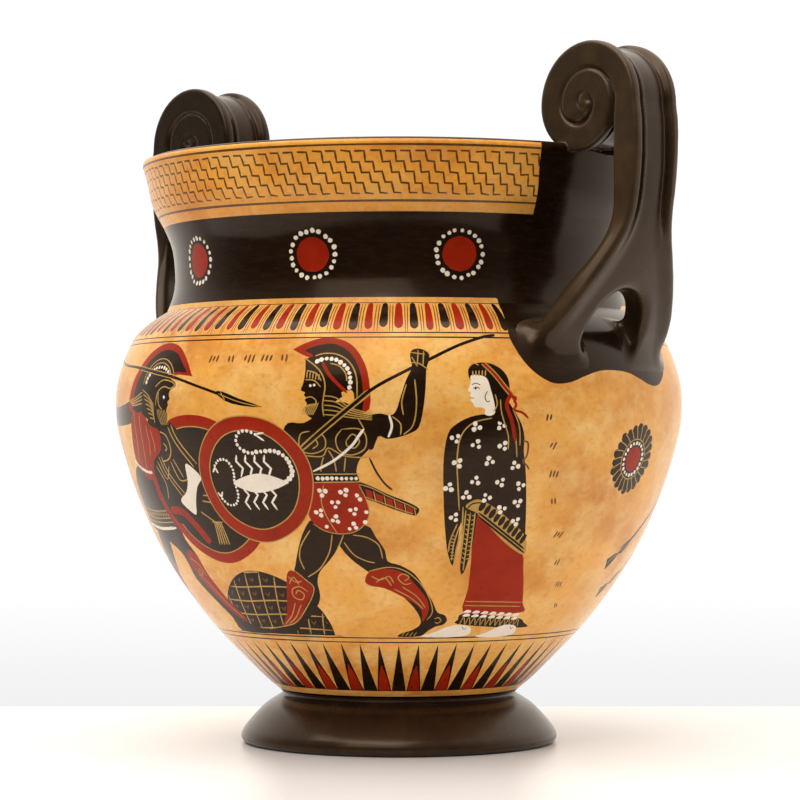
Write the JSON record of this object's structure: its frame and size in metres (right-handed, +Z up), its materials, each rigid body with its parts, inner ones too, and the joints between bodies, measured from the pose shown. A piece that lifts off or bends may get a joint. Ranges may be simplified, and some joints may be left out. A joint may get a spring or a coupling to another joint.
{
  "type": "volute krater",
  "caption": "Hollow ceramic mixing bowl on a turned foot, with a flared neck and tall strap handles on spread legs that roll over the rim in scrolls.",
  "frame": {"origin": "centre of the foot's underside, on the surface that the vessel stands on", "axes": "+Z up along the vessel's axis, handles on +X and -X, the fully painted side facing -Y"},
  "size_m": [0.2994, 0.2522, 0.2998],
  "materials": {
    "painted_clay": "orange clay painted in dark slip with brick red and cream details, under a thin clear gloss; foot, neck, inside and handles dark"
  },
  "bodies": {
    "root": {"krater": "painted_clay"}
  },
  "joints": []
}
